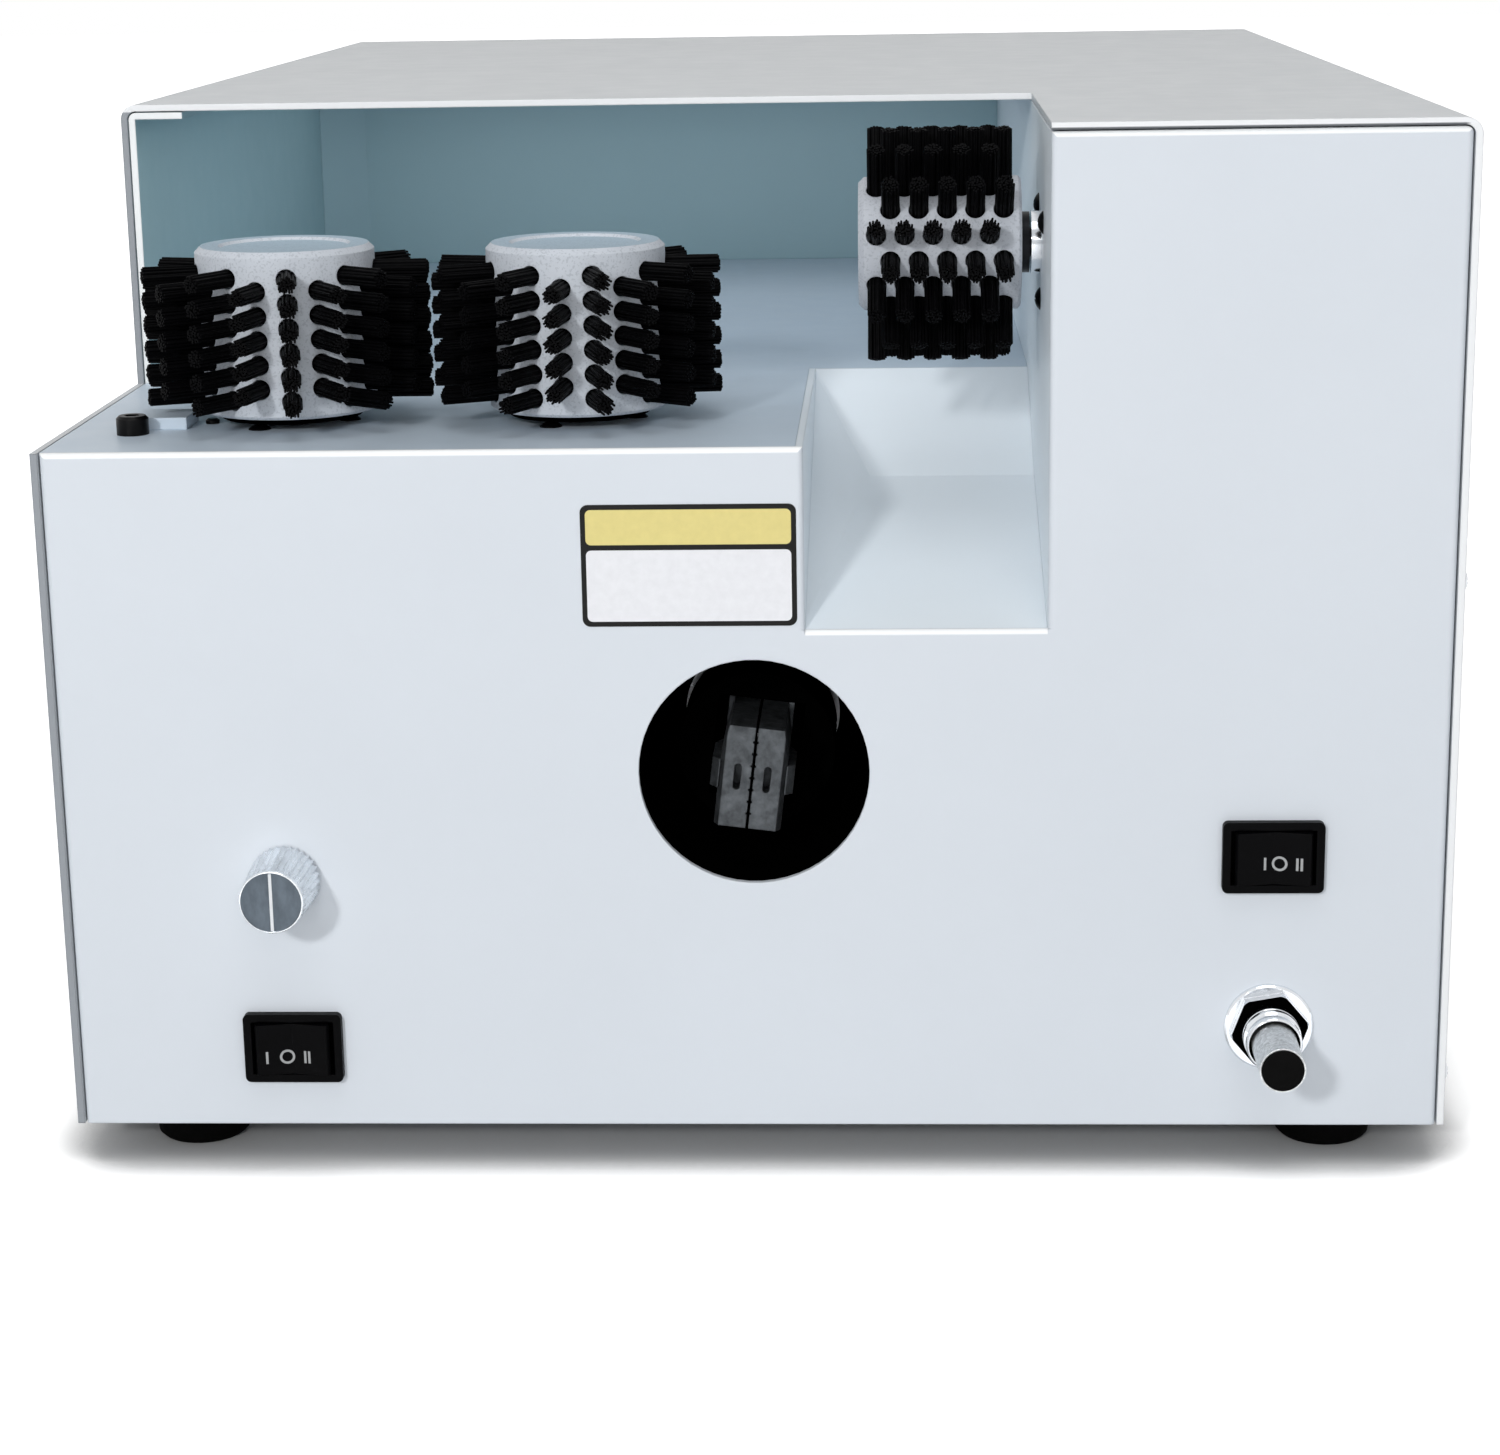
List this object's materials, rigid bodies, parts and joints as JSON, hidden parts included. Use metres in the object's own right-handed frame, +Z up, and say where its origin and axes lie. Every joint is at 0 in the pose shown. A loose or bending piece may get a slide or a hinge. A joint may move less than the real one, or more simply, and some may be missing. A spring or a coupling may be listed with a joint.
{
  "type": "wire twisting machine",
  "caption": "Bench machine with two upright brush wheels and a cross brush over a sheet ramp, and a gripping head in a round port that twists stranded wire.",
  "frame": {"origin": "bottom centre of the bounding box, on the surface the feet stand on", "axes": "+Z up, +Y from the front panel to the rear panel, +X to the right seen from the front"},
  "size_m": [0.2956, 0.45, 0.219],
  "materials": {
    "paint": "light powder coat",
    "rubber": "matt",
    "plated_steel": "bright zinc plate",
    "black_screw": "black oxide",
    "grey_metal": "satin",
    "jaw_steel": "ground",
    "switch_black": "gloss",
    "knob_aluminium": "satin anodised",
    "chrome": "polished",
    "frosted_aluminium": "frosted",
    "matt_black": "matt",
    "hub_nylon": "cast, lightly mottled",
    "bristle": "stiff nylon filament",
    "dark_steel": "dark",
    "board_green": "lacquered"
  },
  "bodies": {
    "housing": {"base_pan": "paint", "front_panel": "paint", "deck_plate": "paint", "wire_ramp": "paint", "tower_wall": "paint", "bay_side_wall": "paint", "bay_rear_wall": "paint", "outer_cover": "paint", "rear_panel": "paint", "rubber_feet": "rubber", "twist_belt": "rubber", "foot_fasteners": "plated_steel", "housing_screws": "plated_steel", "speed_pot": "plated_steel", "bearing_outer_rings": "plated_steel", "clamp_spring": "plated_steel", "deck_screws": "black_screw", "motor_screws": "black_screw", "deck_stop_plate": "grey_metal", "left_brush_motor": "grey_metal", "right_brush_motor": "grey_metal", "cross_brush_motor": "grey_metal", "bearing_block": "grey_metal", "motor_bracket": "grey_metal", "power_switch_frame": "switch_black", "direction_switch_frame": "switch_black", "power_inlet": "switch_black", "socket_nut": "chrome", "socket_bush": "chrome", "cross_brush_boss": "chrome", "socket_sleeve": "frosted_aluminium", "socket_insert": "matt_black", "port_tube": "matt_black", "twist_motor": "dark_steel", "clamp_solenoid": "dark_steel", "transformer": "dark_steel", "control_board": "board_green"},
    "left_brush": {"left_brush_hub": "hub_nylon", "left_brush_tufts": "bristle", "left_brush_arbor": "dark_steel"},
    "right_brush": {"right_brush_hub": "hub_nylon", "right_brush_tufts": "bristle", "right_brush_arbor": "dark_steel"},
    "cross_brush": {"cross_brush_hub": "hub_nylon", "cross_brush_tufts": "bristle", "cross_brush_arbor": "chrome"},
    "twist_head": {"chuck_body": "dark_steel", "jaw_pins": "plated_steel", "twist_spindle": "plated_steel", "bearing_inner_rings": "plated_steel", "spindle_pulley": "grey_metal"},
    "left_jaw": {"left_jaw": "jaw_steel"},
    "right_jaw": {"right_jaw": "jaw_steel"},
    "push_rod": {"push_rod": "plated_steel"},
    "clamp_plunger": {"clamp_plunger": "grey_metal"},
    "motor_rotor": {"motor_pulley": "grey_metal"},
    "power_rocker": {"power_rocker": "switch_black"},
    "direction_rocker": {"direction_rocker": "switch_black"},
    "speed_knob": {"speed_knob": "knob_aluminium", "speed_pot_shaft": "plated_steel"}
  },
  "joints": [
    {"name": "left_brush_spin", "type": "hinge", "parent": "housing", "child": "left_brush", "pos_m": [-0.0989, -0.158, 0.175], "axis": [0, 0, 1], "continuous": true},
    {"name": "right_brush_spin", "type": "hinge", "parent": "housing", "child": "right_brush", "pos_m": [-0.0368, -0.158, 0.175], "axis": [0, 0, 1], "continuous": true},
    {"name": "cross_brush_spin", "type": "hinge", "parent": "housing", "child": "cross_brush", "pos_m": [0.0403, -0.153, 0.191], "axis": [1, 0, 0], "continuous": true},
    {"name": "twist_spin", "type": "hinge", "parent": "housing", "child": "twist_head", "pos_m": [0.0004, -0.108, 0.0834], "axis": [0, 1, 0], "continuous": true},
    {"name": "left_jaw_swing", "type": "hinge", "parent": "twist_head", "child": "left_jaw", "pos_m": [-0.00462, -0.16, 0.08402], "axis": [-0.1219, 0, -0.9925], "range_deg": [0, 8]},
    {"name": "right_jaw_swing", "type": "hinge", "parent": "twist_head", "child": "right_jaw", "pos_m": [0.00542, -0.16, 0.08278], "axis": [0.1219, 0, 0.9925], "range_deg": [0, 8]},
    {"name": "push_rod_slide", "type": "slide", "parent": "twist_head", "child": "push_rod", "axis": [0, 1, 0], "range_m": [0, 0.0048], "stiffness_N_per_m": 400, "springref_m": -0.004, "deforming": ["clamp_spring"]},
    {"name": "plunger_slide", "type": "slide", "parent": "housing", "child": "clamp_plunger", "axis": [0, 1, 0], "range_m": [0, 0.0048]},
    {"name": "motor_spin", "type": "hinge", "parent": "housing", "child": "motor_rotor", "pos_m": [0.075, -0.066, 0.0834], "axis": [0, 1, 0], "continuous": true},
    {"name": "power_rocker_tip", "type": "hinge", "parent": "housing", "child": "power_rocker", "pos_m": [-0.098, -0.1975, 0.0268], "axis": [0, 0, 1], "range_deg": [-12, 12]},
    {"name": "direction_rocker_tip", "type": "hinge", "parent": "housing", "child": "direction_rocker", "pos_m": [0.1086, -0.1975, 0.0686], "axis": [0, 0, 1], "range_deg": [-12, 12]},
    {"name": "speed_knob_turn", "type": "hinge", "parent": "housing", "child": "speed_knob", "pos_m": [-0.098, -0.206, 0.064], "axis": [0, 1, 0], "range_deg": [-150, 150]}
  ],
  "couplings": [
    {"joint": "left_jaw_swing", "follows": "push_rod_slide", "rad_per_m": 29.08},
    {"joint": "right_jaw_swing", "follows": "push_rod_slide", "rad_per_m": 29.08},
    {"joint": "plunger_slide", "follows": "push_rod_slide", "ratio": 1},
    {"joint": "motor_spin", "follows": "twist_spin", "ratio": 1}
  ]
}
